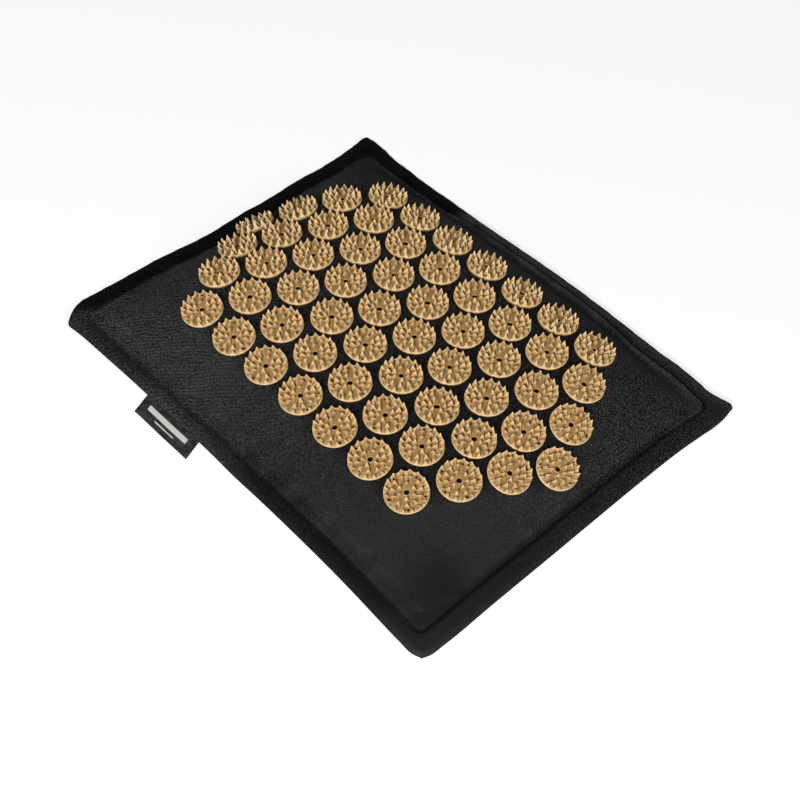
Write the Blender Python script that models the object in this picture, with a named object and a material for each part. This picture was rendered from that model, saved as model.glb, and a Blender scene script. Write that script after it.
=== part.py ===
"""Acupressure mat: spiked plastic discs clamped through the top cloth of a sewn, foam-filled cover.

Lengths are in metres and +Z is up. The origin is the middle of the flat underside, and +X runs along the mat.
Each disc, its stem and its backing plate are one riveted piece that clamps the cloth.
"""

import math

import bmesh
import bpy
from mathutils import Matrix, Vector
from mathutils.geometry import delaunay_2d_cdt

# Cover: its far right corner is pulled out, and its sides are drawn in between the corners
mat_length = 0.311
mat_width = 0.2525
corner_pull = 0.0040
draw_in_far = 0.0015
draw_in_left = 0.0038
draw_in_near = 0.0014
draw_in_right = 0.0017
flange_far = 0.0115
flange_left = 0.0100
flange_near = 0.0110
flange_right = 0.0145
flange_thickness = 0.0022
cloth_thickness = 0.0008
far_right_radius = 0.0050
far_left_radius = 0.0030
near_left_radius = 0.0140
near_right_radius = 0.0070
rounding_share = 0.5
corner_points = 3
long_side_points = 7
short_side_points = 5

# Crown of the padded part: where its foot lies, its rise above the flange, and how far in each side rolls
crown_end_border = 0.0105
crown_side_border = 0.01125
crown_rise = 0.0199
roll_left = 0.071
roll_right = 0.088
roll_near = 0.120
roll_far = 0.062
roll_power = 2.5
slope_step = 0.0005

# Points that carry the top cloth between the seam and the discs
shoulder_width = 0.009
shoulder_clearance = 0.0086
bare_border = 0.018
weld_distance = 1e-9

# Pattern of discs, laid out along the cloth while it is flat
pattern_end_border = 0.025
disc_gap = 0.004
middle_row_discs = 10
rows_each_side = 3
pattern_x = -0.004
pattern_y = 0.005
march_steps = 24
spin_step = math.radians(137.5)
seat_reach = 0.0048

# Disc
plate_thickness = 0.0016
seat_gap = 0.0003
spike_height = 0.0030
inner_spikes = 6
middle_spikes = 11
outer_spikes = 16
inner_spike_share = 0.344
inner_valley_share = 0.496
middle_spike_share = 0.648
outer_valley_share = 0.800
outer_spike_share = 0.948
centre_hole_radius = 0.0014
centre_hole_sides = 6

# Stem and backing plate, under the disc
stem_radius = 0.0026
stem_sides = 6
stem_clearance = 0.0003
clamp_gap = 0.0004
backing_radius = 0.0043
backing_sides = 8
backing_thickness = 0.0010

# Foam pad
foam_inset = 0.012
foam_ease = 0.0006
floor_gap = 0.0003
foam_point_spacing = 0.040

# Label, sewn into the near seam
label_length = 0.0455
label_projection = 0.0125
label_tuck = 0.004
label_thickness = 0.0008
label_x = -0.047

# Finish: colours in sRGB levels, and the angle past which an edge is sharp
cloth_colour = (38, 38, 39)
cloth_roughness = 0.85
plastic_colour = (200, 160, 105)
plastic_roughness = 0.5
foam_colour = (150, 150, 146)
foam_roughness = 0.95
sharp_angle = math.radians(30)

# Worked out from the sizes above
crown_half_x = mat_length / 2 - crown_end_border
crown_half_y = mat_width / 2 - crown_side_border
disc_pitch = (mat_length - 2 * pattern_end_border) / (middle_row_discs - 1)
disc_radius = (disc_pitch - disc_gap) / 2
row_pitch = disc_pitch * math.sqrt(3) / 2
cell_radius = disc_pitch / math.sqrt(3)
cloth_hole_radius = (stem_radius + stem_clearance) / math.cos(math.pi / stem_sides)
foam_depth = cloth_thickness + clamp_gap + backing_thickness + foam_ease
plate_top = seat_gap + plate_thickness


def clear_scene():
    for obj in list(bpy.data.objects):
        bpy.data.objects.remove(obj, do_unlink=True)


def linear(level):
    """An sRGB level from 0 to 255 as a linear share."""
    share = level / 255
    return share / 12.92 if share <= 0.04045 else ((share + 0.055) / 1.055) ** 2.4


def make_material(name, srgb, roughness):
    material = bpy.data.materials.new(name)
    material.use_nodes = True
    shader = material.node_tree.nodes["Principled BSDF"]
    shader.inputs["Base Color"].default_value = (*map(linear, srgb), 1)
    shader.inputs["Roughness"].default_value = roughness
    shader.inputs["Metallic"].default_value = 0
    return material


def mesh_from(bm, name, material):
    bmesh.ops.recalc_face_normals(bm, faces=bm.faces)
    mesh = bpy.data.meshes.new(name)
    bm.to_mesh(mesh)
    bm.free()
    mesh.materials.append(material)
    mesh.shade_smooth()
    mesh.set_sharp_from_angle(angle=sharp_angle)
    return mesh


def add_object(name, mesh):
    obj = bpy.data.objects.new(name, mesh)
    bpy.context.scene.collection.objects.link(obj)
    return obj


def ring_points(radius, count, phase=0.0):
    """Points round a circle, anticlockwise."""
    turns = [phase + 2 * math.pi * k / count for k in range(count)]
    return [Vector((radius * math.cos(turn), radius * math.sin(turn))) for turn in turns]


def rounded_loop(flange_share, inset):
    """Anticlockwise outline of the mat, with rounded corners, one of them pulled out, and drawn-in sides.

    It is moved in from each side by a share of that side's flange and by the inset. Every loop has as many
    points.
    """
    far, left, near, right = (
        flange_share * flange + inset for flange in (flange_far, flange_left, flange_near, flange_right)
    )
    half_x = mat_length / 2
    half_y = mat_width / 2
    corners = (
        (half_x + corner_pull - right, half_y - far, far_right_radius, long_side_points, draw_in_far),
        (left - half_x, half_y - far, far_left_radius, short_side_points, draw_in_left),
        (left - half_x, near - half_y, near_left_radius, long_side_points, draw_in_near),
        (half_x - right, near - half_y, near_right_radius, short_side_points, draw_in_right),
    )
    arcs = []
    for quarter, (x, y, radius, _, _) in enumerate(corners):
        radius += rounding_share * far
        middle = Vector((x - math.copysign(radius, x), y - math.copysign(radius, y)))
        turns = [math.pi / 2 * (quarter + k / (corner_points - 1)) for k in range(corner_points)]
        arcs.append([middle + radius * Vector((math.cos(turn), math.sin(turn))) for turn in turns])
    loop = []
    for quarter, (_, _, _, extra, draw_in) in enumerate(corners):
        following = arcs[(quarter + 1) % 4][0]
        turn = math.pi / 2 * (quarter + 1)
        inward = -Vector((math.cos(turn), math.sin(turn)))
        loop += arcs[quarter]
        for k in range(1, extra + 1):
            along = k / (extra + 1)
            bow = 4 * along * (1 - along) * draw_in
            loop.append(arcs[quarter][-1].lerp(following, along) + bow * inward)
    return loop


def crown_height(x, y):
    """Height of the top cloth: a level crown that rolls off to the flange along all four seams."""
    share = 1.0
    for distance, roll in (
        (x + crown_half_x, roll_left),
        (crown_half_x - x, roll_right),
        (y + crown_half_y, roll_near),
        (crown_half_y - y, roll_far),
    ):
        share *= 1 - min(1, max(0, 1 - distance / roll)) ** roll_power
    return flange_thickness + crown_rise * share


def crown_slope(x, y):
    run = 2 * slope_step
    slope_x = (crown_height(x + slope_step, y) - crown_height(x - slope_step, y)) / run
    slope_y = (crown_height(x, y + slope_step) - crown_height(x, y - slope_step)) / run
    return slope_x, slope_y


def crown_normal(x, y):
    slope_x, slope_y = crown_slope(x, y)
    return Vector((-slope_x, -slope_y, 1)).normalized()


def on_cloth(along, across):
    """Where a point of the flat pattern comes to lie once the cloth curves over the crown."""
    x, y = pattern_x, pattern_y
    for _ in range(march_steps):
        slope_x, slope_y = crown_slope(x, y)
        x += along / march_steps / math.hypot(1, slope_x)
        y += across / march_steps / math.hypot(1, slope_y)
    return x, y


def disc_seats():
    """One matrix for each disc: its place on the cloth, tilted to the crown and turned a fixed step."""
    seats = []
    for row in range(-rows_each_side, rows_each_side + 1):
        count = middle_row_discs - abs(row)
        for place in range(count):
            x, y = on_cloth((place - (count - 1) / 2) * disc_pitch, row * row_pitch)
            tilt = Vector((0, 0, 1)).rotation_difference(crown_normal(x, y)).to_matrix().to_4x4()
            spin = Matrix.Rotation(spin_step * len(seats), 4, "Z")
            seats.append(Matrix.Translation((x, y, crown_height(x, y))) @ tilt @ spin)
    return seats


def seat_height(seat, x, y):
    """Height of a disc's seat plane over a point of the floor."""
    normal = seat.to_3x3() @ Vector((0, 0, 1))
    away = seat.translation
    return away.z - (normal.x * (x - away.x) + normal.y * (y - away.y)) / normal.z


def cell_corners(seats):
    """The corners of the six-sided cells round the discs, each on the lowest seat plane that reaches it."""
    corners = []
    for seat in seats:
        for offset in ring_points(cell_radius, 6, math.pi / 6):
            spot = seat.translation.xy + offset
            met = any((corner.xy - spot).length < disc_radius for corner in corners)
            if met or not within_crown(spot, bare_border):
                continue
            reach = [s for s in seats if (s.translation.xy - spot).length < cell_radius + seat_reach]
            corners.append(Vector((spot.x, spot.y, min(seat_height(s, *spot) for s in reach))))
    return corners


def within_crown(spot, border):
    return abs(spot.x) < crown_half_x - border and abs(spot.y) < crown_half_y - border


def clear_of(seats, spot, distance):
    return all((seat.translation.xy - spot).length > distance for seat in seats)


def bare_points(seats, spacing, border):
    """Even points in the bare cloth round the pattern, at least their own spacing away from every disc."""
    rows = int(mat_width / spacing)
    places = int(mat_length / spacing)
    points = []
    for row in range(-rows, rows + 1):
        for place in range(-places, places + 1):
            spot = spacing * Vector((place + (row % 2) / 2, row * math.sqrt(3) / 2))
            if within_crown(spot, border) and clear_of(seats, spot, spacing):
                points.append(Vector((spot.x, spot.y, crown_height(*spot))))
    return points


def triangulate(points, closed_rings):
    """Triangles, as index triples, of points seen from above. Each ring of indices keeps its edges."""
    edges = [(ring[k - 1], ring[k]) for ring in closed_rings for k in range(len(ring))]
    found = delaunay_2d_cdt([p.xy for p in points], edges, [], 1, weld_distance)
    origin = [ids[0] for ids in found[3]]
    return [[origin[k] for k in face] for face in found[2]]


def add_ring(bm, points):
    return [bm.verts.new(p) for p in points]


def bridge(bm, lower, upper):
    """Faces between two rings of as many points."""
    for k in range(len(lower)):
        bm.faces.new((lower[k - 1], lower[k], upper[k], upper[k - 1]))


def add_sheet(bm, seam, rings, others):
    """One face of the top cloth, from the seam to the edges of the holes. Returns the rings' vertices."""
    points = list(seam)
    kept = [list(range(len(seam)))]
    for ring in rings:
        kept.append(list(range(len(points), len(points) + len(ring))))
        points += ring
    points += others
    verts = add_ring(bm, points)
    holes = [set(ring) for ring in kept[1:]]
    for face in triangulate(points, kept):
        if not any(hole.issuperset(face) for hole in holes):
            bm.faces.new([verts[k] for k in face])
    return [[verts[k] for k in ring] for ring in kept]


def at_height(loop, height):
    return [Vector((p.x, p.y, height)) for p in loop]


def make_cover(seats, material):
    """Top and base cloth sewn together round a flange. Each stem has its hole, and the label its seam."""
    bm = bmesh.new()
    seam = rounded_loop(1, 0)
    edge = rounded_loop(0, 0)
    shoulder = [p for p in rounded_loop(1, shoulder_width) if clear_of(seats, p, shoulder_clearance)]
    shoulder = [Vector((p.x, p.y, crown_height(*p))) for p in shoulder]
    bare = bare_points(seats, disc_pitch, bare_border)
    hole = ring_points(cloth_hole_radius, stem_sides)
    upper_holes = [[seat @ Vector((p.x, p.y, 0)) for p in hole] for seat in seats]
    under_holes = [[seat @ Vector((p.x, p.y, -cloth_thickness)) for p in hole] for seat in seats]
    under = [p - crown_normal(p.x, p.y) * cloth_thickness for p in shoulder + bare]

    top = add_sheet(bm, at_height(seam, flange_thickness), upper_holes, shoulder + bare + cell_corners(seats))
    inner = add_sheet(bm, at_height(seam, flange_thickness - cloth_thickness), under_holes, under)
    for upper, lower in zip(top[1:], inner[1:]):
        bridge(bm, lower, upper)
    floor = add_ring(bm, at_height(seam, cloth_thickness))
    bridge(bm, floor, inner[0])
    bm.faces.new(floor)
    rim_top = add_ring(bm, at_height(edge, flange_thickness))
    rim_base = add_ring(bm, at_height(edge, 0))
    bridge(bm, rim_top, top[0])
    bridge(bm, rim_base, rim_top)
    bm.faces.new(rim_base)
    cover = add_object("cover", mesh_from(bm, "cover", material))

    label = make_label(material)
    sewn = cover.modifiers.new("label sewn in", "BOOLEAN")
    sewn.operation = "UNION"
    sewn.solver = "EXACT"
    sewn.object = label


def make_label(material):
    """The label's strip, tucked into the seam. The cover's union takes it in."""
    bm = bmesh.new()
    bmesh.ops.create_cube(bm, size=1)
    bm.transform(
        Matrix.Translation((label_x, (label_tuck - label_projection - mat_width) / 2, flange_thickness / 2))
        @ Matrix.Diagonal((label_length, label_projection + label_tuck, label_thickness, 1))
    )
    label = add_object("label_guide", mesh_from(bm, "label", material))
    label.hide_render = True
    label.display_type = "WIRE"
    return label


def make_foam_pad(material):
    """The foam slab, pressed to the cloth's shape and clear of the backing plates."""
    bm = bmesh.new()
    loop = rounded_loop(1, foam_inset)
    inner = bare_points([], foam_point_spacing, foam_point_spacing)
    top = [Vector((p.x, p.y, crown_height(p.x, p.y))) for p in loop] + inner
    top = [p - crown_normal(p.x, p.y) * foam_depth for p in top]
    verts = add_ring(bm, top)
    rim = list(range(len(loop)))
    for face in triangulate(top, [rim]):
        bm.faces.new([verts[k] for k in face])
    base = add_ring(bm, at_height(top[: len(loop)], cloth_thickness + floor_gap))
    bridge(bm, base, verts[: len(loop)])
    bm.faces.new(base)
    add_object("foam_pad", mesh_from(bm, "foam_pad", material))


def add_spikes(bm, count, apexes, inner, outer):
    """Sharp pyramids side by side between two rings of valley points, one under each apex.

    inner and outer are (vertices, phase). The valley between two spikes runs from the inner point to the
    outer point nearest its angle.
    """

    def nearest(ring, turn):
        verts, phase = ring
        return round((turn - phase) * len(verts) / (2 * math.pi))

    def stretch(ring, start, end):
        verts, _ = ring
        return [verts[k % len(verts)] for k in range(nearest(ring, start), nearest(ring, end) + 1)]

    half = math.pi / count
    for apex, turn in apexes:
        foot = stretch(outer, turn - half, turn + half) + stretch(inner, turn - half, turn + half)[::-1]
        foot = [v for k, v in enumerate(foot) if v is not foot[k - 1]]
        for k in range(len(foot)):
            bm.faces.new((foot[k - 1], foot[k], apex))


def spike_disc_mesh(material):
    """A round plate with rings of spikes, a blind centre hole, and the stem and backing plate beneath it.

    Its own origin is on the cloth's upper side, in the middle of the seat.
    """
    bm = bmesh.new()
    rim_phase = math.pi / outer_spikes

    def ring(radius, count, height, phase=0.0):
        return add_ring(bm, at_height(ring_points(radius, count, phase), height))

    hole = ring(centre_hole_radius, centre_hole_sides, plate_top)
    inner_valley = ring(inner_valley_share * disc_radius, middle_spikes, plate_top)
    outer_valley = ring(outer_valley_share * disc_radius, middle_spikes, plate_top)
    rim = ring(disc_radius, outer_spikes, plate_top, rim_phase)
    bounds = ((hole, 0.0), (inner_valley, 0.0), (outer_valley, 0.0), (rim, rim_phase))
    spikes = (
        (inner_spikes, inner_spike_share, math.pi / inner_spikes),
        (middle_spikes, middle_spike_share, math.pi / middle_spikes),
        (outer_spikes, outer_spike_share, 0.0),
    )
    for (count, share, phase), inner, outer in zip(spikes, bounds, bounds[1:]):
        tips = ring(share * disc_radius, count, plate_top + spike_height, phase)
        apexes = [(tip, phase + 2 * math.pi * k / count) for k, tip in enumerate(tips)]
        add_spikes(bm, count, apexes, inner, outer)

    hole_floor = ring(centre_hole_radius, centre_hole_sides, -cloth_thickness)
    bridge(bm, hole_floor, hole)
    bm.faces.new(hole_floor)

    plate_base = ring(disc_radius, outer_spikes, seat_gap, rim_phase)
    stem_top = ring(stem_radius, stem_sides, seat_gap)
    backing_top = -cloth_thickness - clamp_gap
    stem_base = ring(stem_radius, stem_sides, backing_top)
    backing_rim = ring(backing_radius, backing_sides, backing_top)
    backing_base = ring(backing_radius, backing_sides, backing_top - backing_thickness)
    bridge(bm, plate_base, rim)
    join_rings(bm, stem_top, plate_base)
    bridge(bm, stem_base, stem_top)
    join_rings(bm, stem_base, backing_rim)
    bridge(bm, backing_base, backing_rim)
    bm.faces.new(backing_base)
    return mesh_from(bm, "spike_disc", material)


def join_rings(bm, inner, outer):
    """Triangles between two level rings of unlike counts."""
    edges = [
        bm.edges.get((loop[k - 1], loop[k])) or bm.edges.new((loop[k - 1], loop[k]))
        for loop in (inner, outer)
        for k in range(len(loop))
    ]
    bmesh.ops.bridge_loops(bm, edges=edges)


def main():
    clear_scene()
    cloth = make_material("black woven polyester", cloth_colour, cloth_roughness)
    plastic = make_material("tan moulded plastic", plastic_colour, plastic_roughness)
    foam = make_material("grey polyurethane foam", foam_colour, foam_roughness)
    seats = disc_seats()
    make_cover(seats, cloth)
    make_foam_pad(foam)
    disc_mesh = spike_disc_mesh(plastic)
    for number, seat in enumerate(seats, start=1):
        disc = add_object(f"spike_disc_{number:02d}", disc_mesh)
        disc.matrix_world = seat


main()
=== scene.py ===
import math

import bmesh
import bpy
import numpy as np
from mathutils import Matrix, Vector


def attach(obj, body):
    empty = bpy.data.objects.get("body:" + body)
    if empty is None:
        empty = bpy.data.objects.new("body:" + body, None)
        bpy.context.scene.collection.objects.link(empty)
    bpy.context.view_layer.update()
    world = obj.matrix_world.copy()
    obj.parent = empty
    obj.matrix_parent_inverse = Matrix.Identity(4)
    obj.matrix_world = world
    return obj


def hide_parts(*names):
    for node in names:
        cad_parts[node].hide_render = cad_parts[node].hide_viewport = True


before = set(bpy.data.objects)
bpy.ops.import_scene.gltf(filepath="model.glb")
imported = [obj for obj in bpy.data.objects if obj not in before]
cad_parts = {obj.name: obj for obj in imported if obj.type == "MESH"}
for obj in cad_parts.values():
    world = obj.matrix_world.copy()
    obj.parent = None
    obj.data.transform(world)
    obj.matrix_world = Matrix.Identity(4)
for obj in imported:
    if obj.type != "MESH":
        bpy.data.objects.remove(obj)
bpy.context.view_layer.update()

# The studio
# A sweep of plain white paper, a soft lamp on the near right, a second one on the right and a weak dome all
# round. The lamps stand low, so that the padded middle shades the left and the far edge.
scene = bpy.context.scene
camera = bpy.data.cameras.new("camera")
camera.sensor_width = 36
camera.lens = 60.68
camera.clip_start = 0.01
camera_stand = bpy.data.objects.new("camera", camera)
camera_stand.location = (0.35415, -0.38755, 0.60046)
camera_stand.rotation_euler = [math.radians(turn) for turn in (39.2999, -3.6614, 46.1665)]
scene.collection.objects.link(camera_stand)
scene.camera = camera_stand
scene.view_settings.view_transform = "Standard"


def linear(code):
    """A colour written as an sRGB hex value, as linear red, green, blue and a full alpha."""
    shares = np.array([int(code[k : k + 2], 16) for k in (0, 2, 4)]) / 255
    return (*np.where(shares <= 0.04045, shares / 12.92, ((shares + 0.055) / 1.055) ** 2.4), 1)


def new_tree(owners, name):
    """A new material or world of that name, and its node tree with nothing in it."""
    owner = owners.new(name)
    owner.use_nodes = True
    owner.node_tree.nodes.clear()
    return owner, owner.node_tree


def add_node(tree, kind, settings=None, **inputs):
    """Adds a shader node. settings are its own properties, or only the name of its operation.

    An input goes by its name, or by a low line and its number. It is a value, an output, or a node, whose
    first output is meant.
    """
    node = tree.nodes.new("ShaderNode" + kind)
    settings = {"operation": settings} if isinstance(settings, str) else settings or {}
    for name, value in settings.items():
        setattr(node, name, value)
    for name, value in inputs.items():
        socket = node.inputs[int(name[1:])] if name[1:].isdigit() else node.inputs[name.replace("_", " ")]
        if isinstance(value, bpy.types.Node):
            value = value.outputs[0]
        if isinstance(value, bpy.types.NodeSocket):
            tree.links.new(value, socket)
        else:
            socket.default_value = value
    return node


def add_lamp(name, azimuth, elevation, size, power, away):
    """A square area lamp that faces the middle of the mat, from an azimuth and an elevation in degrees."""
    turn, climb = math.radians(azimuth), math.radians(elevation)
    side = math.cos(climb)
    at = Vector((math.cos(turn) * side, math.sin(turn) * side, math.sin(climb))) * away
    lamp = bpy.data.lights.new(name, "AREA")
    lamp.size = size
    lamp.energy = power
    stand = bpy.data.objects.new(name, lamp)
    stand.location = at
    stand.rotation_euler = (-at).to_track_quat("-Z", "Y").to_euler()
    scene.collection.objects.link(stand)


add_lamp("key_lamp", azimuth=-66, elevation=33, size=0.4, power=43, away=2.2)
add_lamp("right_lamp", azimuth=-6, elevation=26, size=0.6, power=34, away=3.0)

dome, tree = new_tree(bpy.data.worlds, "dome")
seen = add_node(tree, "LightPath").outputs["Is Camera Ray"]
weak = add_node(tree, "Background", Color=linear("FFFFFF"), Strength=0.12)
plain = add_node(tree, "Background", Color=linear("FFFFFF"), Strength=1.0)
either = add_node(tree, "MixShader", _0=seen, _1=weak, _2=plain)
add_node(tree, "OutputWorld", Surface=either)
scene.world = dome

# Sweep paper: matt, and white to the eye. It glows for the camera alone, and so throws no more light on
# the mat.
as_colour = {"data_type": "RGBA"}
paper, tree = new_tree(bpy.data.materials, "white_sweep_paper")
seen = add_node(tree, "LightPath").outputs["Is Camera Ray"]
tint = add_node(tree, "Mix", as_colour, _0=seen, _6=linear("A8A8A8"), _7=linear("A0A0A0"))
matt = add_node(tree, "BsdfPrincipled", Base_Color=tint.outputs[2], Roughness=0.9)
glow = add_node(tree, "Math", "MULTIPLY", _0=seen, _1=0.72)
lift = add_node(tree, "Emission", Color=linear("FFFFFF"), Strength=glow)
both = add_node(tree, "AddShader", _0=matt, _1=lift)
add_node(tree, "OutputMaterial", Surface=both)

floor_half = 4.0
floor_signs = ((-1, -1), (1, -1), (1, 1), (-1, 1))
floor_mesh = bpy.data.meshes.new("floor")
floor_mesh.from_pydata([(x * floor_half, y * floor_half, 0) for x, y in floor_signs], [], [(0, 1, 2, 3)])
floor_mesh.materials.append(paper)
floor = bpy.data.objects.new("floor", floor_mesh)
scene.collection.objects.link(floor)

# The pattern of the discs
# The discs are riveted to the flat cloth on a triangular grid, 29 mm from one to the next, before the foam
# goes in. Over the foam each one tilts with the cloth that carries it.
crown_half = np.array((0.145, 0.115))
crown_foot = 0.0022
crown_rise = 0.0199
crown_rolls = (0.071, 0.088, 0.120, 0.062)
crown_power = 2.5
slope_step = 0.0005
pattern_middle = (-0.004, 0.005)
disc_pitch = 0.029
row_counts = (7, 8, 9, 10, 9, 8, 7)
march_steps = 24
spin_step = math.radians(137.5)
# Where the foam has settled or stands up: place of the middle, and height there.
settlings = (
    (-0.128, 0.008, -0.0030), (-0.096, 0.084, -0.0035), (0.062, -0.004, -0.0014), (-0.050, 0.010, 0.0012),
    (0.112, -0.092, -0.0026),
)
settling_reach = 0.034
# How far each disc sits off its place in the grid, along and across, in mm.
disc_strays = (
    (0.99, 0.27), (0.78, 0.49), (0.37, 0.34), (0.54, 0.70), (0.81, 0.13), (0.44, -0.03), (-0.51, 0.20),
    (-0.05, 0.84), (-0.30, 0.57), (-0.24, 0.37), (-0.44, 0.38), (-0.28, 0.59), (0.16, -0.16),
    (-0.31, 0.14), (-0.81, 0.46), (0.47, 0.96), (-0.09, 0.07), (-0.09, 0.12), (0.61, -0.02),
    (-0.01, 0.17), (0.82, -0.09), (0.77, -0.16), (0.76, -0.29), (-1.26, 0.12), (1.31, 0.47),
    (-0.92, 0.33), (-0.37, -0.15), (-0.07, -0.53), (-0.09, -0.17), (-0.42, 0.39), (-0.29, 0.18),
    (0.17, 0.09), (0.15, -0.44), (-1.51, -0.71), (0.44, 0.23), (-0.36, -0.01), (-0.24, -0.39),
    (-0.15, 0.01), (0.13, 0.01), (0.44, -0.04), (0.19, 0.31), (0.49, 0.18), (-1.31, -0.03),
    (-0.48, -0.31), (-0.88, 0.11), (-0.78, -0.41), (-0.73, 0.11), (0.03, -0.22), (0.01, -0.19),
    (-0.10, 0.33), (-0.42, 0.42), (0.67, -0.07), (0.76, -0.32), (0.18, -0.14), (0.09, 0.49), (0.58, 0.19),
    (0.43, 0.53), (0.77, 0.09),
)
# Discs at the left end that tip more or less than the crown does: number, slope and height that are added.
tipped_discs = ((16, 0.04, -0.0010), (25, 0.29, -0.0015), (26, -0.05, 0.0), (35, 0.11, 0.0))


def crown_height(x, y):
    """Height of the cloth over the foam: the crown's rise times one rolled share for each side.

    A side's share is 1 minus the 2.5th power of how far, within its roll, the point lies from the level
    part. Each settling adds a bell curve of its own height, which dies out at the foot as the crown does.
    """
    away = (x + crown_half[0], crown_half[0] - x, y + crown_half[1], crown_half[1] - y)
    share = 1.0
    for distance, roll in zip(away, crown_rolls):
        share = share * (1 - np.clip(1 - distance / roll, 0, 1) ** crown_power)
    lift = crown_rise
    for middle_x, middle_y, height in settlings:
        lift = lift + height * np.exp(-((x - middle_x) ** 2 + (y - middle_y) ** 2) / settling_reach**2)
    return crown_foot + lift * share


def crown_slopes(x, y):
    """Slopes of the crown along x and y, by the difference over a short step each way."""
    slope_x = (crown_height(x + slope_step, y) - crown_height(x - slope_step, y)) / (2 * slope_step)
    slope_y = (crown_height(x, y + slope_step) - crown_height(x, y - slope_step)) / (2 * slope_step)
    return slope_x, slope_y


def disc_places():
    """Where the discs come to lie: steps along the cloth, each shortened by the cloth's slope there."""
    rows = np.arange(len(row_counts)) - len(row_counts) // 2
    row, count = np.repeat(rows, row_counts), np.repeat(row_counts, row_counts)
    place = np.concatenate([np.arange(n) for n in row_counts])
    along = (place - (count - 1) / 2) * disc_pitch
    across = row * disc_pitch * math.sqrt(3) / 2
    x, y = np.full(len(row), pattern_middle[0]), np.full(len(row), pattern_middle[1])
    for _ in range(march_steps):
        slope_x, slope_y = crown_slopes(x, y)
        x = x + along / march_steps / np.hypot(1, slope_x)
        y = y + across / march_steps / np.hypot(1, slope_y)
    x, y = np.stack((x, y)) + np.array(disc_strays).T / 1000
    return np.stack((x, y, crown_height(x, y)), 1)


disc_middles = disc_places()
slope_x, slope_y = crown_slopes(disc_middles[:, 0], disc_middles[:, 1])
for number, slope, height in tipped_discs:
    slope_x[number - 1] += slope
    disc_middles[number - 1, 2] += height
disc_normals = np.stack((-slope_x, -slope_y, np.ones(len(slope_x))), 1)
disc_normals /= np.linalg.norm(disc_normals, axis=1, keepdims=True)

# The cover
# Two panels of black woven polyester, sewn together inside out, turned, and topstitched round a flat
# flange. The panels pull in between the corners, and the foam lifts the upper one into a low crown.
flat_length = 0.311
flat_width = 0.2525
flange = {"left": 0.0124, "right": 0.0120, "near": 0.0102, "far": 0.0125}
seam_corner = 0.005
far_left_corner = 0.0115
hem_height = 0.0016
cloth_ply = 0.0012
hem_round = 0.0001
# A size by side has a value each for left, right, near and far, blended round the corners over this
# distance.
side_blend = 0.006
# By side: height of the seam, how far from the hem the flange reaches it, width of the padded shoulder
# and how far inside the seam it starts, and depth and half width of the seam's groove.
seam_heights = (0.0042, 0.0034, 0.0034, 0.0036)
hem_slopes = (0.0100, 0.0040, 0.0040, 0.0040)
shoulders = (0.0060, 0.0070, 0.0110, 0.0120)
shoulder_starts = (0.0, 0.0, 0.0, 0.0026)
groove_depths = (0.0008, 0.0020, 0.0012, 0.0012)
groove_widths = (0.0012, 0.0011, 0.0024, 0.0008)
# The roll of cloth just inside the seam: its height by side, how soon it rises and how far it reaches.
roll_heights = (0.0, 0.0002, 0.0, 0.0019)
roll_rise = 0.0004
roll_reach = 0.0035
# The disc at the left end presses the seam down: place along the seam, reach and depth.
pressed_place = 0.132
pressed_reach = 0.020
pressed_depth = 0.0022
# How far the far seam strays from its flange's width, by place along the mat.
far_seam_stray = (
    (0, 0), (0.088, -0.0004), (0.108, -0.0054), (0.215, -0.0050), (0.240, -0.0026), (0.311, -0.0020),
)
# At its left end the far seam stands as high as the left one: place along the mat, and share of that
# height.
far_seam_high = ((0.085, 1.0), (0.110, 0.0))
# The far flange curls up along its middle: distance from the hem, half width and height of the curl.
far_curl = (0.0030, 0.0017, 0.0011)
# The lower panel curls up from the floor to the seam over this distance, by this power of the share of it.
underside_roll = 0.012
underside_power = 2.5
floor_gap = 0.0001
# The cloth lies flat under a disc out to the first radius, and is free of it past the second.
seat_flat = 0.0128
seat_fade = 0.0166
# Gathers inside the seam: depth by side, where they are deepest, their reach from there, and their waves
# along the long sides and the ends, each with its length, its start in radians and its share.
gather_depths = (0.00045, 0.00022, 0.00040, 0.00009)
gather_place = 0.006
gather_reach = 0.008
side_gathers = ((0.0231, 1.1, 1.0), (0.0137, 4.0, 0.6))
end_gathers = ((0.0203, 2.3, 1.0), (0.0121, 0.4, 0.6))
# The left and far hems are ragged, by waves given in the same way.
rag_waves = ((0.0187, 0.0, 1.0), (0.0093, 1.7, 0.7), (0.0061, 0.6, 0.5))
rag_steepness = 1.4
rag_depth = 0.00014
rag_reach = 0.004
left_rag_start = 0.1
# Places of the grid's lines: zones from the hem inwards, and the steps in them.
seam_zone = (0.0048, 0.0148)
edge_zone = 0.024
edge_step = 0.0004
middle_step = 0.0019
# The four hems as they lie, in mm from the mat's middle: place along the side, then place across it.
near_edge = (
    (-149.55, -118.8), (-148.1, -122.7), (-146.5, -125.9), (-144.5, -127.9), (-142.8, -128.4),
    (-140, -128.2), (-136.5, -127.85), (-131.4, -127.35), (-127.4, -127.15), (-124, -127), (-120, -126.9),
    (-89, -125.9), (-45, -125.3), (-17, -124.8), (6, -125.2), (26, -124.9), (61, -125), (79, -125.3),
    (100, -126), (124, -127.3), (139, -128), (148, -128), (153, -126.3),
)
far_edge = (
    (-155.8, 123.4), (-151, 124.3), (-146, 124.4), (-137.3, 123.8), (-132, 122.8), (-126.8, 122.2),
    (-120.5, 122.1), (-110.5, 122.1), (-102, 121.75), (-72, 122.6), (-45, 123.1), (-22, 124.2),
    (2, 125.4), (26, 126.1), (54, 126.1), (85, 125.1), (104, 124.6), (115.5, 124.9), (123.1, 124.7),
    (128.3, 124.2), (132.3, 123.8), (135.5, 123.5), (138.4, 123.1), (141.4, 123), (144.7, 123.2),
    (149.5, 124.1), (153.5, 124.9), (156.5, 125), (158.4, 123.4),
)
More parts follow.
